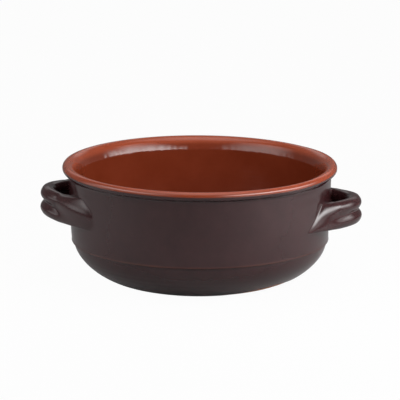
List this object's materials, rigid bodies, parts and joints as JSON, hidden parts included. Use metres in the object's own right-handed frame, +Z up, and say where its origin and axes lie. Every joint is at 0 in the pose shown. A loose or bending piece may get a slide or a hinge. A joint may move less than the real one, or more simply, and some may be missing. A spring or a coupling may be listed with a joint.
{
  "type": "casserole dish",
  "caption": "Round deep earthenware dish with a flared rim, flat base and grooved loop handles, glazed brown outside and clear inside, for baking and serving.",
  "frame": {"origin": "centre of the flat base, on the table", "axes": "+Z up through the open mouth, X through the two handles with the lower handle at +X"},
  "size_m": [0.282, 0.24, 0.1025],
  "materials": {
    "terracotta": "unglazed fired clay",
    "slip": "fired slip",
    "brown_glaze": "glossy brown glaze",
    "clear_glaze": "clear glaze over terracotta"
  },
  "bodies": {
    "root": {"bowl": "terracotta", "left_handle": "terracotta", "right_handle": "terracotta", "left_front_slip": "slip", "left_rear_slip": "slip", "right_front_slip": "slip", "right_rear_slip": "slip", "outer_glaze": "brown_glaze", "left_handle_glaze": "brown_glaze", "right_handle_glaze": "brown_glaze", "inner_glaze": "clear_glaze"}
  },
  "joints": []
}
